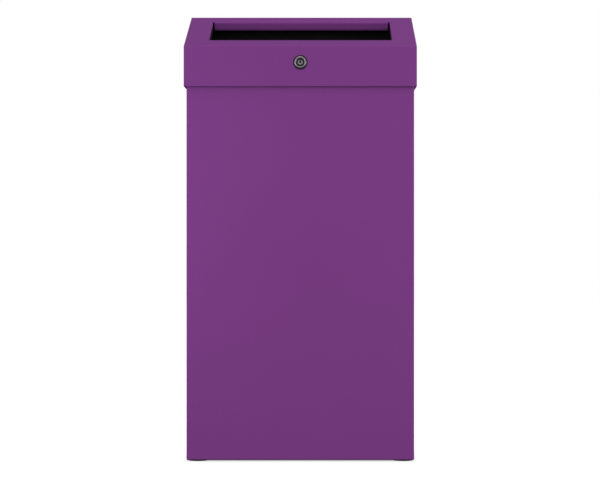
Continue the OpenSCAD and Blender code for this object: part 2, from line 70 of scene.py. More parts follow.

# Painted shadow: the floor glows only grey under the bin, within these distances of its middle, and clears to
# white.
painted_shadow_x = (0.174, 0.19)
painted_shadow_y = (0.104, 0.112)
painted_shadow_tone = 0.57
white_floor = bpy.data.materials.new("white_floor")
white_floor.use_nodes = True
tree = white_floor.node_tree
tree.nodes.clear()
rays = add_node(tree, "ShaderNodeLightPath")
place = add_node(tree, "ShaderNodeTexCoord")
reach = add_node(tree, "ShaderNodeVectorMath")
reach.operation = "ABSOLUTE"
sides = add_node(tree, "ShaderNodeSeparateXYZ")
beside, before = (
    add_node(tree, "ShaderNodeMapRange", From_Min=low, From_Max=high, To_Min=painted_shadow_tone)
    for low, high in (painted_shadow_x, painted_shadow_y)
)
clear = add_node(tree, "ShaderNodeMath")
clear.operation = "MAXIMUM"
seen = add_node(tree, "ShaderNodeMath")
seen.operation = "MULTIPLY"
glow = add_node(tree, "ShaderNodeMix")
glow.data_type = "RGBA"
glow.inputs["A"].default_value = (0, 0, 0, 1)
glow.inputs["B"].default_value = (1, 1, 1, 1)
surface = add_node(tree, "ShaderNodeBsdfPrincipled", Base_Color=(0.15, 0.15, 0.15, 1), Roughness=0.8)
surface.inputs["Specular IOR Level"].default_value = 0
surface.inputs["Emission Strength"].default_value = 1
output = add_node(tree, "ShaderNodeOutputMaterial")
tree.links.new(place.outputs["Object"], reach.inputs[0])
tree.links.new(reach.outputs["Vector"], sides.inputs["Vector"])
tree.links.new(sides.outputs["X"], beside.inputs["Value"])
tree.links.new(sides.outputs["Y"], before.inputs["Value"])
tree.links.new(beside.outputs["Result"], clear.inputs[0])
tree.links.new(before.outputs["Result"], clear.inputs[1])
tree.links.new(rays.outputs["Is Camera Ray"], seen.inputs[0])
tree.links.new(clear.outputs["Value"], seen.inputs[1])
tree.links.new(seen.outputs["Value"], glow.inputs["Factor"])
tree.links.new(glow.outputs["Result"], surface.inputs["Emission Color"])
tree.links.new(surface.outputs["BSDF"], output.inputs["Surface"])
floor_mesh.materials.append(white_floor)

front_light = 1.31
back_light = 0.25
sky = bpy.data.worlds.new("sky")
scene.world = sky
sky.use_nodes = True
tree = sky.node_tree
tree.nodes.clear()
rays = add_node(tree, "ShaderNodeLightPath")
way = add_node(tree, "ShaderNodeTexCoord")
parts = add_node(tree, "ShaderNodeSeparateXYZ")
depth = add_node(tree, "ShaderNodeMapRange", From_Min=-0.9, From_Max=0.3)
walls = add_node(tree, "ShaderNodeMix")
walls.data_type = "RGBA"
walls.inputs["A"].default_value = (front_light, front_light, front_light, 1)
walls.inputs["B"].default_value = (back_light, back_light, back_light, 1)
backdrop = add_node(tree, "ShaderNodeMix")
backdrop.data_type = "RGBA"
backdrop.inputs["B"].default_value = (1, 1, 1, 1)
light = add_node(tree, "ShaderNodeBackground")
output = add_node(tree, "ShaderNodeOutputWorld")
tree.links.new(way.outputs["Generated"], parts.inputs["Vector"])
tree.links.new(parts.outputs["Y"], depth.inputs["Value"])
tree.links.new(depth.outputs["Result"], walls.inputs["Factor"])
tree.links.new(walls.outputs["Result"], backdrop.inputs["A"])
tree.links.new(rays.outputs["Is Camera Ray"], backdrop.inputs["Factor"])
tree.links.new(backdrop.outputs["Result"], light.inputs["Color"])
tree.links.new(light.outputs["Background"], output.inputs["Surface"])


def soft_lamp(name, place, aim, width, height, power):
    lamp = bpy.data.lights.new(name, "AREA")
    lamp.shape = "RECTANGLE"
    lamp.size = width
    lamp.size_y = height
    lamp.energy = power
    item = bpy.data.objects.new(name, lamp)
    item.location = place
    item.rotation_euler = (Vector(aim) - Vector(place)).to_track_quat("-Z", "Y").to_euler()
    item.visible_camera = False
    scene.collection.objects.link(item)


soft_lamp("lamp_left", (-0.55, -0.55, 0.42), (0, -0.1, 0.42), 0.25, 0.3, 1.05)
soft_lamp("lamp_right", (0.6, -0.55, 0.42), (0, -0.1, 0.42), 0.25, 0.3, 0.65)
soft_lamp("lamp_beside_left", (-1.5, 0.1, 0.45), (0, 0, 0.4), 0.6, 0.9, 8)
soft_lamp("lamp_beside_right", (1.5, 0.1, 0.45), (0, 0, 0.4), 0.6, 0.9, 15)
soft_lamp("lamp_above", (0, -0.45, 2.2), (0, -0.1, 0.6), 1.2, 0.8, 4.4)
soft_lamp("lamp_behind", (1.2, 1.9, 1.1), (0, 0.1, 0.4), 0.9, 0.9, 14)

camera = bpy.data.cameras.new("camera")
camera.sensor_width = 36
camera.lens = 136.1
camera.shift_x = -0.0367
viewpoint = bpy.data.objects.new("camera", camera)
viewpoint.location = (0.0343, -3.6916, 0.3501)
viewpoint.rotation_euler = (math.radians(90), 0, 0)
scene.collection.objects.link(viewpoint)
scene.camera = viewpoint
scene.view_settings.view_transform = "Standard"

# Casing: the front and both sides are one steel sheet 1.2 mm thick, folded on a press
# brake, with returns turned in at the rim, wide flanges below and narrow ones behind.
# Outside it has a satin purple powder coat, and inside a dark primer.
mm = 0.001
sheet = 1.2
bend_r = 2.5
half_w = 180
case_y = -107.4
back_y = 107.6
foot_h = 2
rim_h = 606
front_return = 20
side_return = 12
base_flange = 50
rear_flange = 15
notch = 3
slit = 0.5


def shader_group(name, inputs, outputs):
    group = bpy.data.node_groups.new(name, "ShaderNodeTree")
    for label, kind in inputs:
        group.interface.new_socket(label, in_out="INPUT", socket_type=kind)
    for label in outputs:
        group.interface.new_socket(label, in_out="OUTPUT", socket_type="NodeSocketFloat")
    return group, group.nodes.new("NodeGroupInput"), group.nodes.new("NodeGroupOutput")


# Coat texture: Height is the fine orange peel of sprayed powder, in pebbles of the given
# size, and Patches are the wide, faint changes of tone that a large sheet shows.
coat_texture, given, made = shader_group(
    "coat_texture",
    [("Position", "NodeSocketVector"), ("Pebble Size", "NodeSocketFloat"), ("Patch Size", "NodeSocketFloat")],
    ["Height", "Patches"],
)
for size, label in (("Pebble Size", "Height"), ("Patch Size", "Patches")):
    scale = add_node(coat_texture, "ShaderNodeMath")
    scale.operation = "DIVIDE"
    scale.inputs[0].default_value = 1
    noise = add_node(coat_texture, "ShaderNodeTexNoise", Detail=2, Roughness=0.45)
    coat_texture.links.new(given.outputs[size], scale.inputs[1])
    coat_texture.links.new(given.outputs["Position"], noise.inputs["Vector"])
    coat_texture.links.new(scale.outputs["Value"], noise.inputs["Scale"])
    coat_texture.links.new(noise.outputs["Fac"], made.inputs[label])


def textured(name, texture, sizes, tones, rough, depth, drivers, **values):
    """Finish whose tone, roughness and relief come from three named outputs of a texture."""
    finish = bpy.data.materials.new(name)
    finish.use_nodes = True
    tree = finish.node_tree
    tree.nodes.clear()
    place = add_node(tree, "ShaderNodeTexCoord")
    pattern = tree.nodes.new("ShaderNodeGroup")
    pattern.node_tree = texture
    for label, size in sizes.items():
        pattern.inputs[label].default_value = size
    tone = add_node(tree, "ShaderNodeMix")
    tone.data_type = "RGBA"
    tone.inputs["A"].default_value = tones[0]
    tone.inputs["B"].default_value = tones[1]
    shine = add_node(tree, "ShaderNodeMapRange", To_Min=rough[0], To_Max=rough[1])
    relief = add_node(tree, "ShaderNodeBump", Strength=1, Distance=depth)
    surface = add_node(tree, "ShaderNodeBsdfPrincipled", **values)
    output = add_node(tree, "ShaderNodeOutputMaterial")
    tree.links.new(place.outputs["Object"], pattern.inputs["Position"])
    tree.links.new(pattern.outputs[drivers[0]], tone.inputs["Factor"])
    tree.links.new(pattern.outputs[drivers[1]], shine.inputs["Value"])
    tree.links.new(pattern.outputs[drivers[2]], relief.inputs["Height"])
    tree.links.new(tone.outputs["Result"], surface.inputs["Base Color"])
    tree.links.new(shine.outputs["Result"], surface.inputs["Roughness"])
    tree.links.new(relief.outputs["Normal"], surface.inputs["Normal"])
    tree.links.new(surface.outputs["BSDF"], output.inputs["Surface"])
    return finish


def coated(name, dark, light, rough, pebble, peel, patch=0.25, gloss=0.5):
    """Sprayed coat or rubber with fine orange peel and wide, faint changes of tone."""
    sizes = {"Pebble Size": pebble, "Patch Size": patch}
    drivers = ("Patches", "Patches", "Height")
    return textured(name, coat_texture, sizes, (dark, light), rough, peel, drivers, Specular_IOR_Level=gloss)


satin = {"rough": (0.6, 0.68), "pebble": 0.0011, "peel": 0.00002, "gloss": 0.05}
purple_coat = coated("purple_coat", paint(122, 60, 132), paint(128, 64, 138), **satin)
dark_primer = coated(
    "dark_primer", paint(25, 24, 26), paint(34, 33, 35), (0.7, 0.85), 0.0008, 0.00002, gloss=0.15
)


def new_piece(name, shape, coats):
    mesh = bpy.data.meshes.new(name)
    shape.to_mesh(mesh)
    shape.free()
    for coat in coats:
        mesh.materials.append(coat)
    item = bpy.data.objects.new(name, mesh)
    scene.collection.objects.link(item)
    return item


def make_plain(item):
    """Turns the piece and its modifiers into one plain mesh."""
    graph = bpy.context.evaluated_depsgraph_get()
    mesh = bpy.data.meshes.new_from_object(item.evaluated_get(graph))
    item.modifiers.clear()
    item.data = mesh


def smooth(item):
    """Smooths the bends and keeps the flat faces flat."""
    crease = 35
    item.data.polygons.foreach_set("use_smooth", [True] * len(item.data.polygons))
    item.data.set_sharp_from_angle(angle=math.radians(crease))
    normals = item.modifiers.new("flat_faces", "WEIGHTED_NORMAL")
    normals.keep_sharp = True
    make_plain(item)


def folded_sheet(name, parts, radius, thickness, coats, rolled=None):
    """Sheet metal from the flat outer faces between its folds.

    Each part is the direction that its first face looks in, and its faces in millimetres.
    A fold beside a face that looks sideways takes the rolled radius instead, if given.
    """
    shape = bmesh.new()
    for facing, faces in parts:
        corners = {}
        new_faces = []
        for face in faces:
            loop = []
            for point in face:
                key = tuple(round(value, 3) for value in point)
                if key not in corners:
                    corners[key] = shape.verts.new(Vector(key) * mm)
                loop.append(corners[key])
            new_faces.append(shape.faces.new(loop))
        bmesh.ops.recalc_face_normals(shape, faces=new_faces)
        new_faces[0].normal_update()
        if new_faces[0].normal.dot(Vector(facing)) < 0:
            bmesh.ops.reverse_faces(shape, faces=new_faces)
    shape.normal_update()
    weights = shape.edges.layers.float.new("bevel_weight_edge")
    reach = {}
    for edge in shape.edges:
        if len(edge.link_faces) == 2:
            turn = edge.calc_face_angle()
            sideways = any(abs(face.normal.x) > 0.99 for face in edge.link_faces)
            if turn > math.radians(30):
                reach[edge] = (rolled if rolled and sideways else radius) * math.tan(turn / 2)
    longest = max(reach.values(), default=1)
    for edge, length in reach.items():
        edge[weights] = length / longest
    item = new_piece(name, shape, coats)
    if reach:
        bends = item.modifiers.new("bends", "BEVEL")
        bends.limit_method = "WEIGHT"
        bends.offset_type = "OFFSET"
        bends.width = longest * mm
        bends.segments = 5
        bends.use_clamp_overlap = False
    gauge = item.modifiers.new("gauge", "SOLIDIFY")
    gauge.thickness = thickness * mm
    gauge.offset = -1
    gauge.use_even_offset = True
    gauge.material_offset = len(coats) - 1
    make_plain(item)
    return item


def cylinder_between(shape, start, end, radius):
    sides = 48
    start = Vector(start) * mm
    end = Vector(end) * mm
    turn = (end - start).to_track_quat("Z", "Y").to_matrix().to_4x4()
    turn.translation = (start + end) / 2
    bmesh.ops.create_cone(
        shape,
        cap_ends=True,
        segments=sides,
        radius1=radius * mm,
        radius2=radius * mm,
        depth=(end - start).length,
        matrix=turn,
    )


def cut_away(item, cutter_shape):
    """Cuts the closed shape out of the piece."""
    cutter = new_piece("cutter", cutter_shape, [])
    cut = item.modifiers.new("cut", "BOOLEAN")
    cut.operation = "DIFFERENCE"
    cut.solver = "EXACT"
    cut.object = cutter
    make_plain(item)
    bpy.data.objects.remove(cutter)


# How far a cutter reaches past the piece that it cuts
past = 5


def drill(item, centres, direction, radius):
    """Round holes through the sheet at the given centres."""
    bits = bmesh.new()
    for centre in centres:
        reach = Vector(direction) * past
        cylinder_between(bits, Vector(centre) - reach, Vector(centre) + reach, radius)
    cut_away(item, bits)


def ring_of_returns(z, deep, wide, back):
    """Flat ring turned in from the front and sides, open behind, with mitred corners."""
    inner_x = half_w - wide
    inner_y = case_y + deep
    length = math.hypot(deep, wide)
    along = Vector((wide, -deep)) / length
    across = Vector((deep, wide)) / length * slit / 2
    corner = Vector((inner_x, inner_y))
    tip = corner + along * (length - bend_r - 2 * sheet)
    right = [
        (half_w, case_y),
        (half_w, back),
        (inner_x, back),
        (inner_x, inner_y + slit / 2 * length / wide),
        tuple(tip + across),
        tuple(tip - across),
        (inner_x - slit / 2 * length / deep, inner_y),
    ]
    left = [(-x, y) for x, y in reversed(right)]
    return [(x, y, z) for x, y in right + left]


wrap_back = back_y - sheet
notch_y = wrap_back - notch
low = foot_h + notch
high = rim_h - notch
wrap_faces = [
    [(-half_w, case_y, foot_h), (half_w, case_y, foot_h), (half_w, case_y, rim_h), (-half_w, case_y, rim_h)],
    ring_of_returns(rim_h, front_return, side_return, notch_y),
    ring_of_returns(foot_h, base_flange, base_flange, notch_y),
]
for side in (-1, 1):
    x = side * half_w
    flange_x = side * (half_w - rear_flange)
    wrap_faces.append([
        (x, case_y, foot_h),
        (x, notch_y, foot_h),
        (x, notch_y, low),
        (x, wrap_back, low),
        (x, wrap_back, high),
        (x, notch_y, high),
        (x, notch_y, rim_h),
        (x, case_y, rim_h),
    ])
    wrap_faces.append([
        (x, wrap_back, low), (flange_x, wrap_back, low), (flange_x, wrap_back, high), (x, wrap_back, high)
    ])
casing_wrap = folded_sheet(
    "casing_front_and_sides", [((0, -1, 0), wrap_faces)], bend_r, sheet, [purple_coat, dark_primer]
)
foot_x = 162.75
foot_y = (-82.65, 82.85)
foot_hole_r = 5.05
buffer_at = (173.4, -75.4)
buffer_hole_r = 2.05
catch_t = 2
catch_rivets_x = (19.124, 29.124)
catch_rivets_y = -94.4
rivet_hole_r = 1.65
foot_places = [(x, y, foot_h) for x in (-foot_x, foot_x) for y in foot_y]
buffer_places = [(side * buffer_at[0], buffer_at[1], rim_h) for side in (-1, 1)]
keeper_rivet_places = [(x, catch_rivets_y, rim_h + catch_t) for x in catch_rivets_x]
drill(casing_wrap, foot_places, (0, 0, 1), foot_hole_r)
drill(casing_wrap, buffer_places, (0, 0, 1), buffer_hole_r)
drill(casing_wrap, keeper_rivet_places, (0, 0, 1), rivet_hole_r)
smooth(casing_wrap)
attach(casing_wrap, "casing")
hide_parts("casing_wrap")

# Back of the casing: a flat steel panel spot-welded over the rear flanges, with its own
# return at the rim and a short flange below. The lower leaf of the hinge is riveted to it.
panel_x = half_w - bend_r
return_x = half_w - rear_flange - slit
flange_x = half_w - base_flange - slit
turned_in = 12
relief = 1


def panel_edge(fold_x, z, inward):
    """Right half of the panel's upper or lower edge, with a relief cut beside the fold."""
    return [
        (fold_x, back_y, z),
        (fold_x, back_y, z + inward * notch),
        (fold_x + relief, back_y, z + inward * notch),
        (fold_x + relief, back_y, z),
        (panel_x, back_y, z),
    ]


right_edge = panel_edge(return_x, rim_h, -1) + panel_edge(flange_x, foot_h, 1)[::-1]
panel_faces = [right_edge + [(-x, y, z) for x, y, z in reversed(right_edge)]]
for fold_x, z in ((return_x, rim_h), (flange_x, foot_h)):
    panel_faces.append([
        (-fold_x, back_y, z),
        (fold_x, back_y, z),
        (fold_x, back_y - turned_in, z),
        (-fold_x, back_y - turned_in, z),
    ])
back_panel = folded_sheet(
    "casing_back", [((0, 1, 0), panel_faces)], bend_r, sheet, [purple_coat, dark_primer]
)
leaf_rivets_x = (-135, -67.5, 0, 67.5, 135)
casing_rivets_z = rim_h - 14
hood_rivets_z = rim_h + 16
drill(back_panel, [(x, back_y, casing_rivets_z) for x in leaf_rivets_x], (0, 1, 0), rivet_hole_r)
smooth(back_panel)
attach(back_panel, "casing")
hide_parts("back_panel")

# Base plate: a flat steel plate laid on the bottom flanges and held by the feet's stems.
# It is coated with the casing. Only its sharp edges are broken here.


def eased(name, node, width, coat, body):
    """Packed solid with its sharp edges broken, which stands for that solid."""
    shape = bmesh.new()
    shape.from_mesh(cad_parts[node].data)
    bmesh.ops.remove_doubles(shape, verts=shape.verts, dist=0.000002)
    bmesh.ops.dissolve_limit(
        shape, angle_limit=math.radians(0.5), verts=shape.verts, edges=shape.edges
    )
    sharp = [edge for edge in shape.edges if edge.calc_face_angle(0) > math.radians(40)]
    bmesh.ops.bevel(
        shape, geom=sharp, offset=width * mm, segments=2, profile=0.5, affect="EDGES", clamp_overlap=True
    )
    item = new_piece(name, shape, [coat])
    smooth(item)
    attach(item, body)
    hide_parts(node)


eased("casing_base", "base_plate", 0.2, purple_coat, "casing")

# Feet: four round feet of black rubber, pushed up through the bottom flange and the base
# plate. Their discs show as thin dark edges just below the casing's front.
foot_profile = [
    (0, 0), (15.1, 0), (15.6, 0.3), (15.75, 0.8), (15.75, 1.6), (15.5, 2), (5, 2),
    (5, 4.4), (6.5, 4.4), (6.3, 5), (4.25, 8.2), (3.9, 8.4), (0, 8.4),
]
black_rubber = coated(
    "black_rubber", paint(24, 22, 24), paint(34, 32, 34), (0.75, 0.9), 0.0006, 0.00003, patch=0.02, gloss=0.3
)


def turned(name, profile, coat, place=(0, 0, 0), axis=(0, 0, 1), sides=64, closed=False):
    """Round piece turned from its half profile of radius and height along the axis."""
    shape = bmesh.new()
    turn = Vector(axis).to_track_quat("Z", "Y").to_matrix()
    rings = []
    for radius, height in profile:
        ring = []
        for step in range(1 if radius == 0 else sides):
            angle = 2 * math.pi * step / sides
            point = turn @ Vector((radius * math.cos(angle), radius * math.sin(angle), height))
            ring.append(shape.verts.new((point + Vector(place)) * mm))
        rings.append(ring)
    pairs = list(zip(rings, rings[1:]))
    if closed:
        pairs.append((rings[-1], rings[0]))
    for one, two in pairs:
        for step in range(sides):
            nearby = (step + 1) % sides
            corners = ((one, step), (one, nearby), (two, nearby), (two, step))
            loop = list(dict.fromkeys(ring[i % len(ring)] for ring, i in corners))
            if len(loop) > 2:
                shape.faces.new(loop)
    bmesh.ops.recalc_face_normals(shape, faces=shape.faces)
    item = new_piece(name, shape, [coat])
    smooth(item)
    return item


def geometry_tree(name, inputs):
    """Node tree with these inputs and a coat, which ends in real geometry in that coat."""
    tree = bpy.data.node_groups.new(name, "GeometryNodeTree")
    for label, kind in [("Geometry", "NodeSocketGeometry"), *inputs, ("Coat", "NodeSocketMaterial")]:
        tree.interface.new_socket(label, in_out="INPUT", socket_type=kind)
    tree.interface.new_socket("Geometry", in_out="OUTPUT", socket_type="NodeSocketGeometry")
    given = tree.nodes.new("NodeGroupInput")
    real = tree.nodes.new("GeometryNodeRealizeInstances")
    dressed = tree.nodes.new("GeometryNodeSetMaterial")
    made = tree.nodes.new("NodeGroupOutput")
    tree.links.new(real.outputs["Geometry"], dressed.inputs["Geometry"])
    tree.links.new(given.outputs["Coat"], dressed.inputs["Material"])
    tree.links.new(dressed.outputs["Geometry"], made.inputs["Geometry"])
    return tree, given, real


# Node tree that sets a copy of one piece on every point of a mesh, turned as asked.
set_on_points, given, real = geometry_tree(
    "set_on_points", [("Piece", "NodeSocketObject"), ("Turn", "NodeSocketRotation")]
)
source = set_on_points.nodes.new("GeometryNodeObjectInfo")
copies = set_on_points.nodes.new("GeometryNodeInstanceOnPoints")
set_on_points.links.new(given.outputs["Geometry"], copies.inputs["Points"])
set_on_points.links.new(given.outputs["Piece"], source.inputs["Object"])
set_on_points.links.new(given.outputs["Turn"], copies.inputs["Rotation"])
set_on_points.links.new(source.outputs["Geometry"], copies.inputs["Instance"])
set_on_points.links.new(copies.outputs["Instances"], real.inputs["Geometry"])


def run_nodes(item, node_tree, **values):
    """Runs a node tree on the piece with the given inputs and keeps the plain result."""
    work = item.modifiers.new("nodes", "NODES")
    work.node_group = node_tree
    for socket in node_tree.interface.items_tree:
        key = socket.name.replace(" ", "_")
        if socket.in_out == "INPUT" and key in values:
            work[socket.identifier] = values[key]
    make_plain(item)


def repeated(name, pattern, places, turn, coat):
    """One piece made of a copy of the pattern at every place; the pattern itself goes."""
    points = bmesh.new()
    for place in places:
        points.verts.new(Vector(place) * mm)
    item = new_piece(name, points, [])
    run_nodes(item, set_on_points, Piece=pattern, Turn=turn, Coat=coat)
    bpy.data.objects.remove(pattern)
    return item


foot = turned("foot", foot_profile, black_rubber, sides=48)
feet = repeated("feet", foot, [(x, y, 0) for x, y, z in foot_places], (0, 0, 0), black_rubber)
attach(feet, "casing")
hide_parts("rubber_feet")

# Rim buffers: two black rubber buttons pushed into the side returns. Two small angle
# brackets of the coated sheet, welded inside the hood's cheeks, land on them.
buffer_profile = [
    (0, 3.5), (3.2, 3.5), (4, 3.2), (4.4, 2.6), (4.5, 2), (4.5, 0), (2, 0), (2, -1.2),
    (3, -1.2), (2.8, -1.7), (1.5, -3.7), (0, -3.7),
]
rest_z = 609.8
rest_h = 18
rest_y = (-85.4, -65.4)
rest_x = (168.9, 183)
button = turned("button", buffer_profile, black_rubber, sides=40)
buffers = repeated("rim_buffers_rubber", button, buffer_places, (0, 0, 0), black_rubber)
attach(buffers, "casing")
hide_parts("rim_buffers")
for side, hand in ((-1, "left"), (1, "right")):
    inner_x = side * rest_x[0]
    outer_x = side * rest_x[1]
    bracket = folded_sheet(
        f"hood_bracket_{hand}",
        [((0, 0, -1), [
            [(inner_x, y, rest_z) for y in rest_y]
            + [(outer_x, y, rest_z) for y in reversed(rest_y)],
            [(outer_x, y, rest_z) for y in rest_y]
            + [(outer_x, y, rest_z + rest_h) for y in reversed(rest_y)],
        ])],
        bend_r,
        sheet,
        [dark_primer],
    )
    smooth(bracket)
    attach(bracket, "hood")
    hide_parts(f"hood_rest_{hand}")

# Hood shell: the upright front, the sloping face and the back strip are one folded steel
# sheet whose side edges are rolled over the cheeks. The slot is cut out with its four
# edges folded down, and the corners are relieved by small round notches.
hood_x = 184.2
front_y = -111.6
skirt_z = 593
fold_z = 657
hood_d = back_y - front_y
slope_rise = 66
slope_a = math.atan2(slope_rise, hood_d)
slope_l = math.hypot(slope_rise, hood_d)
strip_z = 608
lip_w = 4
slot_x = 146
slot_s = (43, 187)
slot_flange = 14
relief_r = 2
rolled_r = 1.5
flange_end = 2.4
end_r = 1.5
fade_from = 10
fade_to = 15.2


def on_slope(x, along, depth=0):
    """Point of the sloping face, measured up the slope from its front fold."""
    y = front_y + along * math.cos(slope_a) + depth * math.sin(slope_a)
    z = fold_z + along * math.sin(slope_a) - depth * math.cos(slope_a)
    return (x, y, z)


def notch_outline(x, along, start):
    """Three quarters of the round notch at a corner of the slot, by quarter turns from start."""
    angles = [math.radians(start + 45 * step) for step in range(7)]
    return [(x + relief_r * math.cos(a), along + relief_r * math.sin(a)) for a in angles]


near, far = slot_s
half_outline = (
    [(0, near - bend_r), (slot_x - flange_end, near - bend_r), (slot_x - flange_end, near)]
    + notch_outline(slot_x, near, 180)
    + [(slot_x, near + flange_end), (slot_x + end_r, near + flange_end)]
    + [(slot_x + end_r, far - flange_end), (slot_x, far - flange_end)]
    + notch_outline(slot_x, far, 270)
    + [(slot_x - flange_end, far), (slot_x - flange_end, far + bend_r), (0, far + bend_r)]
)
half_slope = [(0, 0), (hood_x, 0), (hood_x, slope_l), (0, slope_l)] + half_outline[::-1]
shell_faces = [
    [(-hood_x, front_y, skirt_z), (hood_x, front_y, skirt_z), on_slope(hood_x, 0), on_slope(0, 0),
        on_slope(-hood_x, 0)],
    [on_slope(-hood_x, slope_l), on_slope(0, slope_l), on_slope(hood_x, slope_l),
        (hood_x, back_y, strip_z), (-hood_x, back_y, strip_z)],
]
lip_inner = [
    (front_y + lip_w, skirt_z),
    (front_y + lip_w, fold_z + lip_w * math.tan(slope_a) - lip_w / math.cos(slope_a)),
    (back_y - lip_w, fold_z + (hood_d - lip_w) * math.tan(slope_a) - lip_w / math.cos(slope_a)),
    (back_y - lip_w, strip_z),
]
lip_outer = [(front_y, skirt_z), (front_y, fold_z), (back_y, fold_z + slope_rise), (back_y, strip_z)]
for side in (-1, 1):
    shell_faces.append([on_slope(side * x, along) for x, along in half_slope])
    shell_faces.append([(side * hood_x, y, z) for y, z in lip_outer + lip_inner[::-1]])


def bent_down(radius):
    """Steps in run and depth from the slope round a bend and down a flange of the slot."""
    steps = []
    for step in range(6):
        angle = math.radians(18 * step)
        steps.append((radius * math.sin(angle), radius * (1 - math.cos(angle))))
    steps.append((radius, slot_flange))
    return zip(steps, steps[1:])


reach_x = slot_x - flange_end
for (run, depth), (next_run, next_depth) in bent_down(bend_r):
    for edge, way in ((near - bend_r, 1), (far + bend_r, -1)):
        loop = [on_slope(-reach_x, edge + way * run, depth), on_slope(reach_x, edge + way * run, depth)]
        if depth == 0:
            loop.insert(1, on_slope(0, edge))
        loop.append(on_slope(reach_x, edge + way * next_run, next_depth))
        loop.append(on_slope(-reach_x, edge + way * next_run, next_depth))
        shell_faces.append(loop)
for (run, depth), (next_run, next_depth) in bent_down(end_r):
    for side in (-1, 1):
        x = side * (slot_x + end_r - run)
        next_x = side * (slot_x + end_r - next_run)
        shell_faces.append([
            on_slope(x, near + flange_end, depth),
            on_slope(x, far - flange_end, depth),
            on_slope(next_x, far - flange_end, next_depth),
            on_slope(next_x, near + flange_end, next_depth),
        ])
hood_shell = folded_sheet(
    "hood_front_and_slope",
    [((0, -1, 0), shell_faces)],
    bend_r,
    sheet,
    [purple_coat, dark_primer],
    rolled_r,
)
lock_z = 630.6
lock_hole_r = 8.1
drill(hood_shell, [(0, front_y, lock_z)], (0, 1, 0), lock_hole_r)
drill(hood_shell, [(x, back_y, hood_rivets_z) for x in leaf_rivets_x], (0, 1, 0), rivet_hole_r)


def wrap_coat(item, height):
    """Carries the outer coat round the lower edge and up the inside to this height."""
    shape = bmesh.new()
    shape.from_mesh(item.data)
    everything = [*shape.verts, *shape.edges, *shape.faces]
    bmesh.ops.bisect_plane(
        shape, geom=everything, dist=0.000001, plane_co=(0, 0, height * mm), plane_no=(0, 0, 1)
    )
    for face in shape.faces:
        if face.calc_center_median().z < height * mm:
            face.material_index = 0
    shape.to_mesh(item.data)
    shape.free()


# Coat on the slot's flanges, with painted shade: on the long ones the purple is painted darker downwards
# into the slot, down to the dark primer's tone, and the short ones are painted dark purple all over.
thin_coat = purple_coat.copy()
thin_coat.name = "thin_coat"
tree = thin_coat.node_tree
surface = tree.nodes["Principled BSDF"]
full_tone = surface.inputs["Base Color"].links[0].from_socket
from_fold = add_node(tree, "ShaderNodeVectorMath")
from_fold.operation = "SUBTRACT"
from_fold.inputs[1].default_value = Vector(on_slope(0, 0)) * mm
depth = add_node(tree, "ShaderNodeVectorMath")
depth.operation = "DOT_PRODUCT"
depth.inputs[1].default_value = (0, math.sin(slope_a), -math.cos(slope_a))
# Painted shade: the deeper a point lies below the slope, the closer its tone comes to the dark primer.
fade = add_node(tree, "ShaderNodeMapRange", From_Min=fade_from * mm, From_Max=fade_to * mm)
tone = add_node(tree, "ShaderNodeMix")
tone.data_type = "RGBA"
tone.inputs["B"].default_value = paint(30, 29, 31)
tree.links.new(tree.nodes["Texture Coordinate"].outputs["Object"], from_fold.inputs[0])
tree.links.new(from_fold.outputs["Vector"], depth.inputs[0])
tree.links.new(depth.outputs["Value"], fade.inputs["Value"])
tree.links.new(fade.outputs["Result"], tone.inputs["Factor"])
tree.links.new(full_tone, tone.inputs["A"])
tree.links.new(tone.outputs["Result"], surface.inputs["Base Color"])
# Painted shade: the short end flanges get a dark purple all over for the shade they lie in.
end_coat = coated("end_coat", paint(48, 22, 52), paint(56, 26, 60), **satin)
hood_shell.data.materials.append(thin_coat)
hood_shell.data.materials.append(end_coat)
for face in hood_shell.data.polygons:
    x, y, z = face.center / mm
    along = (y - front_y) * math.cos(slope_a) + (z - fold_z) * math.sin(slope_a)
    beside_slot = abs(x) < slot_x + end_r and near - bend_r < along < far + bend_r
    if beside_slot and face.material_index == 0:
        face.material_index = 3 if abs(face.normal.x) > 0.9 else 2
wrap_coat(hood_shell, rim_h)
smooth(hood_shell)
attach(hood_shell, "hood")
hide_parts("hood_shell")

# Cheeks: the hood's two flat sides, welded in flush with the shell's rolled edges and
# ground smooth, each with a strip that runs under the shell.
cheek_flange = (171, 182.9)
under = 1.25
cheek_outline = lip_inner + [(back_y, strip_z), (back_y, skirt_z)]
strip_line = [
    (front_y + under, skirt_z),
    (front_y + under, fold_z + under * math.tan(slope_a) - under / math.cos(slope_a)),
    (back_y - under, fold_z + (hood_d - under) * math.tan(slope_a) - under / math.cos(slope_a)),
    (back_y - under, strip_z),
]
for side, hand in ((-1, "left"), (1, "right")):
    strip_faces = []
    for (y, z), (next_y, next_z) in zip(strip_line, strip_line[1:]):
        strip_faces.append([
            (side * cheek_flange[0], y, z),
            (side * cheek_flange[1], y, z),
            (side * cheek_flange[1], next_y, next_z),
            (side * cheek_flange[0], next_y, next_z),
        ])
    cheek = folded_sheet(
        f"hood_side_{hand}",
        [
            ((side, 0, 0), [[(side * hood_x, y, z) for y, z in cheek_outline]]),
            ((0, -1, 0), strip_faces),
        ],
        bend_r - under,
        sheet,
        [purple_coat, dark_primer],
    )
    wrap_coat(cheek, rim_h)
    smooth(cheek)
    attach(cheek, "hood")
    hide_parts(f"hood_cheek_{hand}")

# Piano hinge: two zinc-plated leaves rolled round one steel pin, riveted over the back
# panel and the hood's back strip. Every second knuckle belongs to the hood.
hinge_x = 165
hinge_y = back_y + 3.2
hinge_z = 607
knuckle_n = 11
knuckle_r = 3.2
knuckle_bore = 1.55
knuckle_gap = 0.4
leaf_t = 1.2
leaf_notch = 3.6
leaf_w = 22

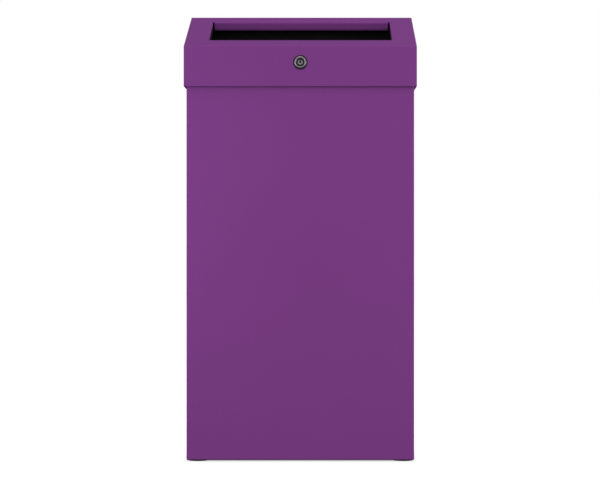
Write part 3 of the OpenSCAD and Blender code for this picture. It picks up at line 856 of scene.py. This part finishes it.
# Handling marks: Marks are fine straight scratches at two angles, from 0 to 1, and Dust
# is a soft patchy film, both from the position on the piece.
handling_marks, given, made = shader_group(
    "handling_marks",
    [("Position", "NodeSocketVector"), ("Scratch Size", "NodeSocketFloat")],
    ["Marks", "Dust"],
)
strokes = []
for angle, stretch in ((25, (1, 1, 24)), (-60, (24, 1, 1))):
    lean = (math.radians(angle), 0, 0)
    spread = add_node(handling_marks, "ShaderNodeMapping", Rotation=lean, Scale=stretch)
    scale = add_node(handling_marks, "ShaderNodeMath")
    scale.operation = "DIVIDE"
    scale.inputs[0].default_value = 1
    noise = add_node(handling_marks, "ShaderNodeTexNoise", Detail=3, Roughness=0.6)
    handling_marks.links.new(given.outputs["Position"], spread.inputs["Vector"])
    handling_marks.links.new(spread.outputs["Vector"], noise.inputs["Vector"])
    handling_marks.links.new(given.outputs["Scratch Size"], scale.inputs[1])
    handling_marks.links.new(scale.outputs["Value"], noise.inputs["Scale"])
    strokes.append(noise)
both = add_node(handling_marks, "ShaderNodeMath")
both.operation = "MULTIPLY"
film = add_node(handling_marks, "ShaderNodeTexNoise", Scale=60, Detail=3)
lift = add_node(handling_marks, "ShaderNodeMapRange", From_Min=0.18, From_Max=0.36)
handling_marks.links.new(strokes[0].outputs["Fac"], both.inputs[0])
handling_marks.links.new(strokes[1].outputs["Fac"], both.inputs[1])
handling_marks.links.new(both.outputs["Value"], lift.inputs["Value"])
handling_marks.links.new(given.outputs["Position"], film.inputs["Vector"])
handling_marks.links.new(lift.outputs["Result"], made.inputs["Marks"])
handling_marks.links.new(film.outputs["Fac"], made.inputs["Dust"])


def plated(name, dull, bright, rough, scratch, depth):
    """Plated metal with fine marks and a slightly uneven shine."""
    sizes = {"Scratch Size": scratch}
    drivers = ("Dust", "Marks", "Marks")
    return textured(name, handling_marks, sizes, (dull, bright), rough, depth, drivers, Metallic=1)


zinc_plate = plated("zinc_plate", paint(150, 152, 156), paint(196, 198, 202), (0.5, 0.3), 0.004, 0.00001)


def leaf_knuckle(way, length):
    """One rolled knuckle with the tab that joins it to its leaf, centred on the pin."""
    shape = bmesh.new()
    outer = [(-knuckle_r, way * leaf_notch)]
    inner = [(-knuckle_r + leaf_t, way * leaf_notch)]
    roll_steps = 26
    step_turn = 12
    for step in range(roll_steps):
        angle = math.radians(180 - step * step_turn)
        outer.append((knuckle_r * math.cos(angle), -way * knuckle_r * math.sin(angle)))
        inner.append((knuckle_bore * math.cos(angle), -way * knuckle_bore * math.sin(angle)))
    ends = []
    for x in (-length / 2, length / 2):
        ends.append([[shape.verts.new(Vector((x, y, z)) * mm) for y, z in line] for line in (outer, inner)])
    last = len(outer) - 1
    for step in range(last):
        for line in (0, 1):
            shape.faces.new([
                ends[0][line][step], ends[1][line][step], ends[1][line][step + 1], ends[0][line][step + 1]
            ])
        for end in ends:
            shape.faces.new([end[0][step], end[0][step + 1], end[1][step + 1], end[1][step]])
    for step in (0, last):
        shape.faces.new([ends[0][0][step], ends[1][0][step], ends[1][1][step], ends[0][1][step]])
    bmesh.ops.recalc_face_normals(shape, faces=shape.faces)
    return new_piece("knuckle", shape, [zinc_plate])


def joined(first, *others):
    """Adds the other pieces' meshes to the first piece."""
    shape = bmesh.new()
    for item in (first, *others):
        shape.from_mesh(item.data)
    coats = list(first.data.materials)
    name = first.name
    for item in (first, *others):
        bpy.data.objects.remove(item)
    return new_piece(name, shape, coats)


pitch = 2 * hinge_x / knuckle_n
for way, first, body, node, rivet_z in (
    (-1, 0, "casing", "hinge_leaf_casing", casing_rivets_z),
    (1, 1, "hood", "hinge_leaf_hood", hood_rivets_z),
):
    edge_z = hinge_z + way * leaf_notch
    end_z = hinge_z + way * leaf_w
    leaf = folded_sheet(
        node + "_plated",
        [((0, 1, 0), [[
            (-hinge_x, back_y + leaf_t, edge_z),
            (hinge_x, back_y + leaf_t, edge_z),
            (hinge_x, back_y + leaf_t, end_z),
            (-hinge_x, back_y + leaf_t, end_z),
        ]])],
        bend_r,
        leaf_t,
        [zinc_plate],
    )
    drill(leaf, [(x, back_y, rivet_z) for x in leaf_rivets_x], (0, 1, 0), rivet_hole_r)
    centres = [(-hinge_x + pitch * (i + 0.5), hinge_y, hinge_z) for i in range(first, knuckle_n, 2)]
    knuckles = repeated(
        "knuckles", leaf_knuckle(way, pitch - knuckle_gap), centres, (0, 0, 0), zinc_plate
    )
    leaf = joined(leaf, knuckles)
    smooth(leaf)
    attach(leaf, body)
    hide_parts(node)

hinge_l = 2 * hinge_x
pin_profile = [
    (0, -1), (1.7, -1), (2.3, -0.6), (2.3, 0), (1.5, 0), (1.5, hinge_l), (2.3, hinge_l),
    (2.3, hinge_l + 0.6), (1.7, hinge_l + 1), (0, hinge_l + 1),
]
pin = turned("hinge_pin_steel", pin_profile, zinc_plate, (-hinge_x, hinge_y, hinge_z), (1, 0, 0), 32)
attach(pin, "casing")
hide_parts("hinge_pin")

# Blind rivets of zinc-plated steel: a low dome with the snapped mandrel in its middle,
# and a bulged tail behind the sheets. They hold the hinge, the keeper and the saddles.


def rivet_profile(grip):
    return [
        (0, 0.8), (0.75, 0.8), (0.8, 1.2), (1.1, 1.3), (1.9, 1.1), (2.6, 0.7), (3, 0.25), (3.1, 0),
        (1.6, 0), (1.6, -grip), (2, -grip), (2.3, -grip - 0.4), (2.3, -grip - 1.1),
        (1.9, -grip - 1.5), (0.9, -grip - 1.6), (0, -grip - 1.6),
    ]


quarter = math.radians(90)
for name, node, body, grip, places, turn in (
    ("hinge_rivets_casing", "casing_hinge_rivets", "casing", leaf_t + sheet,
        [(x, back_y + leaf_t, casing_rivets_z) for x in leaf_rivets_x], (-quarter, 0, 0)),
    ("hinge_rivets_hood", "hood_hinge_rivets", "hood", leaf_t + sheet,
        [(x, back_y + leaf_t, hood_rivets_z) for x in leaf_rivets_x], (-quarter, 0, 0)),
    ("catch_rivets", "keeper_rivets", "casing", catch_t + sheet, keeper_rivet_places, (0, 0, 0)),
):
    rivet = turned("rivet", rivet_profile(grip), zinc_plate, sides=32)
    rivets = repeated(name, rivet, places, turn, zinc_plate)
    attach(rivets, body)
    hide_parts(node)

# Catch of the lock: a zinc-plated steel strip 2 mm thick, bent to a C and riveted to the
# front return. The lock's tongue swings under its upper shelf.
catch_x = (14.124, 34.124)
catch_y = (-101.2, -89.6)
catch_top = 640.4
catch_r = 3
catch_faces = [
    [(catch_x[0], catch_y[0], rim_h), (catch_x[1], catch_y[0], rim_h),
        (catch_x[1], catch_y[0], catch_top), (catch_x[0], catch_y[0], catch_top)],
]
for z in (rim_h, catch_top):
    catch_faces.append([
        (catch_x[0], catch_y[0], z), (catch_x[1], catch_y[0], z), (catch_x[1], catch_y[1], z),
        (catch_x[0], catch_y[1], z),
    ])
catch = folded_sheet("lock_catch", [((0, -1, 0), catch_faces)], catch_r, catch_t, [zinc_plate])
drill(catch, [(x, y, rim_h) for x, y, z in keeper_rivet_places], (0, 0, 1), rivet_hole_r)
smooth(catch)
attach(catch, "casing")
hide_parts("lock_keeper")

# Cam lock: a dull nickel ring and threaded barrel through the hood's front, on a black
# rubber gasket, held by a plated washer and nut. The black plug inside it has a bright
# key face, and turns the plated tongue that is screwed on behind.
# Painted reflection: the nickel's tones are tinted purple for the purple hood that the ring and key face
# reflect.
dull_nickel = plated("dull_nickel", paint(126, 118, 126), paint(152, 144, 150), (0.3, 0.22), 0.003, 0.000003)
black_lacquer = coated(
    "black_lacquer",
    paint(16, 16, 17),
    paint(24, 24, 25),
    (0.3, 0.42),
    0.0009,
    0.00001,
    patch=0.01,
    gloss=0.25,
)
lock_at = (0, front_y, lock_z)
backwards = (0, 1, 0)
gasket_profile = [(8.05, -0.8), (11, -0.8), (11.3, -0.65), (11.4, -0.4), (11.4, 0), (8.05, 0)]
gasket = turned("lock_gasket_rubber", gasket_profile, black_rubber, lock_at, backwards, closed=True)
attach(gasket, "hood")
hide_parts("lock_gasket")

thread_n = 14
thread_start = 1.4
crest_r = 7.95
root_r = 7.6
thread = []
for ridge in range(thread_n):
    thread += [(crest_r, thread_start + ridge), (root_r, thread_start + ridge + 0.5)]
housing_profile = (
    [(6.7, -1.7), (6.95, -2.15), (7.4, -2.38), (8, -2.4), (8.7, -2.25), (9.25, -1.85), (9.52, -1.3)]
    + [(9.55, -0.8), (8, -0.8), (8, 0.9)]
    + thread
    + [(root_r, 15.7), (5.55, 15.7), (5.55, 4), (6.7, 4)]
)
housing = turned("lock_ring_and_barrel", housing_profile, dull_nickel, lock_at, backwards, closed=True)
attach(housing, "hood")
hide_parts("lock_housing")

eased("lock_plug_black", "lock_plug", 0.15, black_lacquer, "lock_core")
key_profile = [(0, -1.4), (3.4, -1.4), (3.6, -1.3), (3.65, -1.1), (3.65, 3.6), (0, 3.6)]
key_face = turned("lock_key_face_bright", key_profile, dull_nickel, lock_at, backwards, sides=48)


def box_between(shape, low, high):
    """Adds the box between two opposite corners, the first of them the lowest on every axis."""
    for corner in bmesh.ops.create_cube(shape, size=1)["verts"]:
        corner.co = Vector([a if at < 0 else b for at, a, b in zip(corner.co, low, high)]) * mm


# The keyway is cut through the rim of the key face, and its inside faces take the black lacquer as painted
# shade.
# Its faces are those near its own box, but not the ones of the face or the rim.
keyway_w = 1.4
keyway_depth = 2.6
keyway_below = 1
clear_of_face = 1.3
clear_of_rim = 3.5
keyway = bmesh.new()
box_between(
    keyway,
    (-keyway_w / 2, front_y - past, lock_z - keyway_below),
    (keyway_w / 2, front_y + keyway_depth, lock_z + past),
)
cut_away(key_face, keyway)
# Painted shade: the black lacquer goes on the keyway's inside faces.
key_face.data.materials.append(black_lacquer)
for face in key_face.data.polygons:
    x, y, z = face.center / mm
    within = abs(x) < keyway_w / 2 + 0.01 and -keyway_below - 0.05 < z - lock_z < clear_of_rim
    if within and front_y - clear_of_face < y < front_y + keyway_depth + 0.1:
        face.material_index = 1
smooth(key_face)
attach(key_face, "lock_core")
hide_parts("lock_key_face")

eased("lock_washer_plated", "lock_washer", 0.15, zinc_plate, "hood")
eased("lock_nut_plated", "lock_nut", 0.4, zinc_plate, "hood")
eased("lock_tongue", "lock_cam", 0.25, zinc_plate, "lock_core")
eased("tongue_washer", "cam_washer", 0.15, zinc_plate, "lock_core")
eased("tongue_screw", "cam_screw", 0.15, zinc_plate, "lock_core")

# Liner: an inner box of thin steel with a matte black coat, whose upper edge is turned
# out, with a notch on each side. Two flat strips welded into the notches hang on the
# casing's side returns, and the floor is a flat plate welded on a lip turned in below.
liner_x = 164
liner_y = (-83.4, 91.6)
liner_z = 12.4
liner_top = 607.1
liner_r = 4
tab_x = 176
tab_y = 55
tab_r = 4
tab_t = 1.5
tab_top = 607.8
liner_mid = 4.1
liner_sheet = 0.8
lip_in = 8
foot_bend = 1.6
rim_out = 3
rim_bend = 1.4
tightest = 0.6


def quarter_bend(out, z, radius, start, way):
    """Quarter circle round a centre in the liner's section, from the start angle."""
    angles = [math.radians(start + way * 22.5 * step) for step in range(5)]
    return [(out + radius * math.cos(a), z + radius * math.sin(a)) for a in angles]


foot_centre = (-foot_bend, liner_z + foot_bend)
rim_centre = (rim_bend - liner_sheet, liner_top - rim_bend)
liner_section = (
    [(-lip_in, liner_z)]
    + quarter_bend(*foot_centre, foot_bend, -90, 1)
    + quarter_bend(*rim_centre, rim_bend - liner_sheet, 180, -1)
    + [(rim_out, liner_top - liner_sheet), (rim_out, liner_top)]
    + quarter_bend(*rim_centre, rim_bend, 90, 1)
    + quarter_bend(*foot_centre, foot_bend - liner_sheet, 0, -1)
    + [(-lip_in, liner_z + liner_sheet)]
)
matte_black = coated(
    "matte_black", paint(26, 26, 28), paint(36, 36, 38), (0.6, 0.75), 0.0009, 0.00002, gloss=0.25
)


def round_box_ring(shape, grown, z):
    """Ring of points round the liner, grown outwards from its wall."""
    radius = max(liner_r + grown, tightest)
    ring = []
    for corner in range(4):
        sign_x = (1, -1, -1, 1)[corner]
        edge_y = liner_y[(1, 1, 0, 0)[corner]]
        sign_y = (1, 1, -1, -1)[corner]
        centre = Vector((sign_x * (liner_x + grown - radius), edge_y + sign_y * (grown - radius), z))
        for step in range(7):
            angle = math.radians(90 * corner + 15 * step)
            point = centre + radius * Vector((math.cos(angle), math.sin(angle), 0))
            ring.append(shape.verts.new(point * mm))
    return ring


walls = bmesh.new()
rings = [round_box_ring(walls, grown, z) for grown, z in liner_section]
for one, two in zip(rings, rings[1:] + rings[:1]):
    for step in range(len(one)):
        nearby = (step + 1) % len(one)
        walls.faces.new([one[step], one[nearby], two[nearby], two[step]])
bmesh.ops.recalc_face_normals(walls, faces=walls.faces)
liner = new_piece("liner_walls_steel", walls, [matte_black])
pivot_z = 577.1
saddle_t = 1.2
rivet_off = (14, 12)
rivet_at = [
    (liner_mid + y * rivet_off[0], pivot_z + z * rivet_off[1]) for y in (-1, 1) for z in (-1, 1)
]
wall_x = liner_x - liner_sheet / 2
drill(liner, [(side * wall_x, y, z) for side in (-1, 1) for y, z in rivet_at], (1, 0, 0), rivet_hole_r)
tab_gap = 0.1
notch_depth = 3
off_wall = 0.02
notches = bmesh.new()
for side in (-1, 1):
    near_x, far_x = sorted((side * (liner_x + off_wall), side * (liner_x + past)))
    box_between(
        notches,
        (near_x, liner_mid - tab_y - tab_gap, liner_top - notch_depth),
        (far_x, liner_mid + tab_y + tab_gap, liner_top + past),
    )
cut_away(liner, notches)
smooth(liner)
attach(liner, "liner")
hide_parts("liner_walls")
quarter_turn = []
for step in range(7):
    angle = math.radians(15 * step)
    quarter_turn.append((tab_r * math.sin(angle), tab_r * math.cos(angle)))
strips = folded_sheet(
    "liner_strips",
    [
        ((0, 0, 1), [
            [(side * liner_x, liner_mid + end * tab_y, tab_top) for end in (-1, 1)]
            + [(side * (tab_x - tab_r + run), liner_mid + tab_y - tab_r + rise, tab_top)
                for run, rise in quarter_turn]
            + [(side * (tab_x - tab_r + run), liner_mid - tab_y + tab_r - rise, tab_top)
                for run, rise in reversed(quarter_turn)]
        ])
        for side in (-1, 1)
    ],
    bend_r,
    tab_t,
    [matte_black],
)
smooth(strips)
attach(strips, "liner")
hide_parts("liner_tabs")
eased("liner_floor_plate", "liner_floor", 0.2, matte_black, "liner")

# Carrying handles: wire of zinc-plated steel, 5 mm thick, bent to a bow whose ends are
# turned in. Each swings in a tube welded to a plate, which is riveted inside the liner.
wire_d = 5
wire_bend = 8
arm_y = 42.5
drop = 41.5
end_y = 8
pivot_x = 159.15
wire_form, given, real = geometry_tree(
    "wire_form", [("Wire Diameter", "NodeSocketFloat"), ("Bend Radius", "NodeSocketFloat")]
)
line = wire_form.nodes.new("GeometryNodeMeshToCurve")
rounded = wire_form.nodes.new("GeometryNodeFilletCurve")
rounded.mode = "POLY"
rounded.inputs["Count"].default_value = 10
half = wire_form.nodes.new("ShaderNodeMath")
half.operation = "DIVIDE"
half.inputs[1].default_value = 2
section = wire_form.nodes.new("GeometryNodeCurvePrimitiveCircle")
section.inputs["Resolution"].default_value = 24
tube = wire_form.nodes.new("GeometryNodeCurveToMesh")
tube.inputs["Fill Caps"].default_value = True
wire_form.links.new(given.outputs["Geometry"], line.inputs["Mesh"])
wire_form.links.new(line.outputs["Curve"], rounded.inputs["Curve"])
wire_form.links.new(given.outputs["Bend Radius"], rounded.inputs["Radius"])
wire_form.links.new(given.outputs["Wire Diameter"], half.inputs[0])
wire_form.links.new(half.outputs["Value"], section.inputs["Radius"])
wire_form.links.new(rounded.outputs["Curve"], tube.inputs["Curve"])
wire_form.links.new(section.outputs["Curve"], tube.inputs["Profile Curve"])
wire_form.links.new(tube.outputs["Mesh"], real.inputs["Geometry"])
bow = [(end_y, 0), (arm_y, 0), (arm_y, -drop), (-arm_y, -drop), (-arm_y, 0), (-end_y, 0)]
rivet_places = []
for side, hand in ((-1, "left"), (1, "right")):
    path = bmesh.new()
    points = [path.verts.new(Vector((side * pivot_x, liner_mid + y, pivot_z + z)) * mm) for y, z in bow]
    for one, two in zip(points, points[1:]):
        path.edges.new((one, two))
    handle = new_piece(f"handle_{hand}_wire", path, [])
    run_nodes(handle, wire_form, Wire_Diameter=wire_d * mm, Bend_Radius=wire_bend * mm, Coat=zinc_plate)
    smooth(handle)
    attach(handle, f"handle_{hand}")
    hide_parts(f"handle_{hand}")
    eased(f"saddle_{hand}", f"handle_saddle_{hand}", 0.2, zinc_plate, "liner")
    rivet = turned("rivet", rivet_profile(liner_sheet + saddle_t), zinc_plate, sides=32)
    places = [(side * (liner_x - liner_sheet - saddle_t), y, z) for y, z in rivet_at]
    rivet_places.append(repeated(f"rivets_{hand}", rivet, places, (0, -side * quarter, 0), zinc_plate))
saddle_rivets = joined(*rivet_places)
saddle_rivets.name = "saddle_rivets_plated"
smooth(saddle_rivets)
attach(saddle_rivets, "liner")
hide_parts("saddle_rivets")
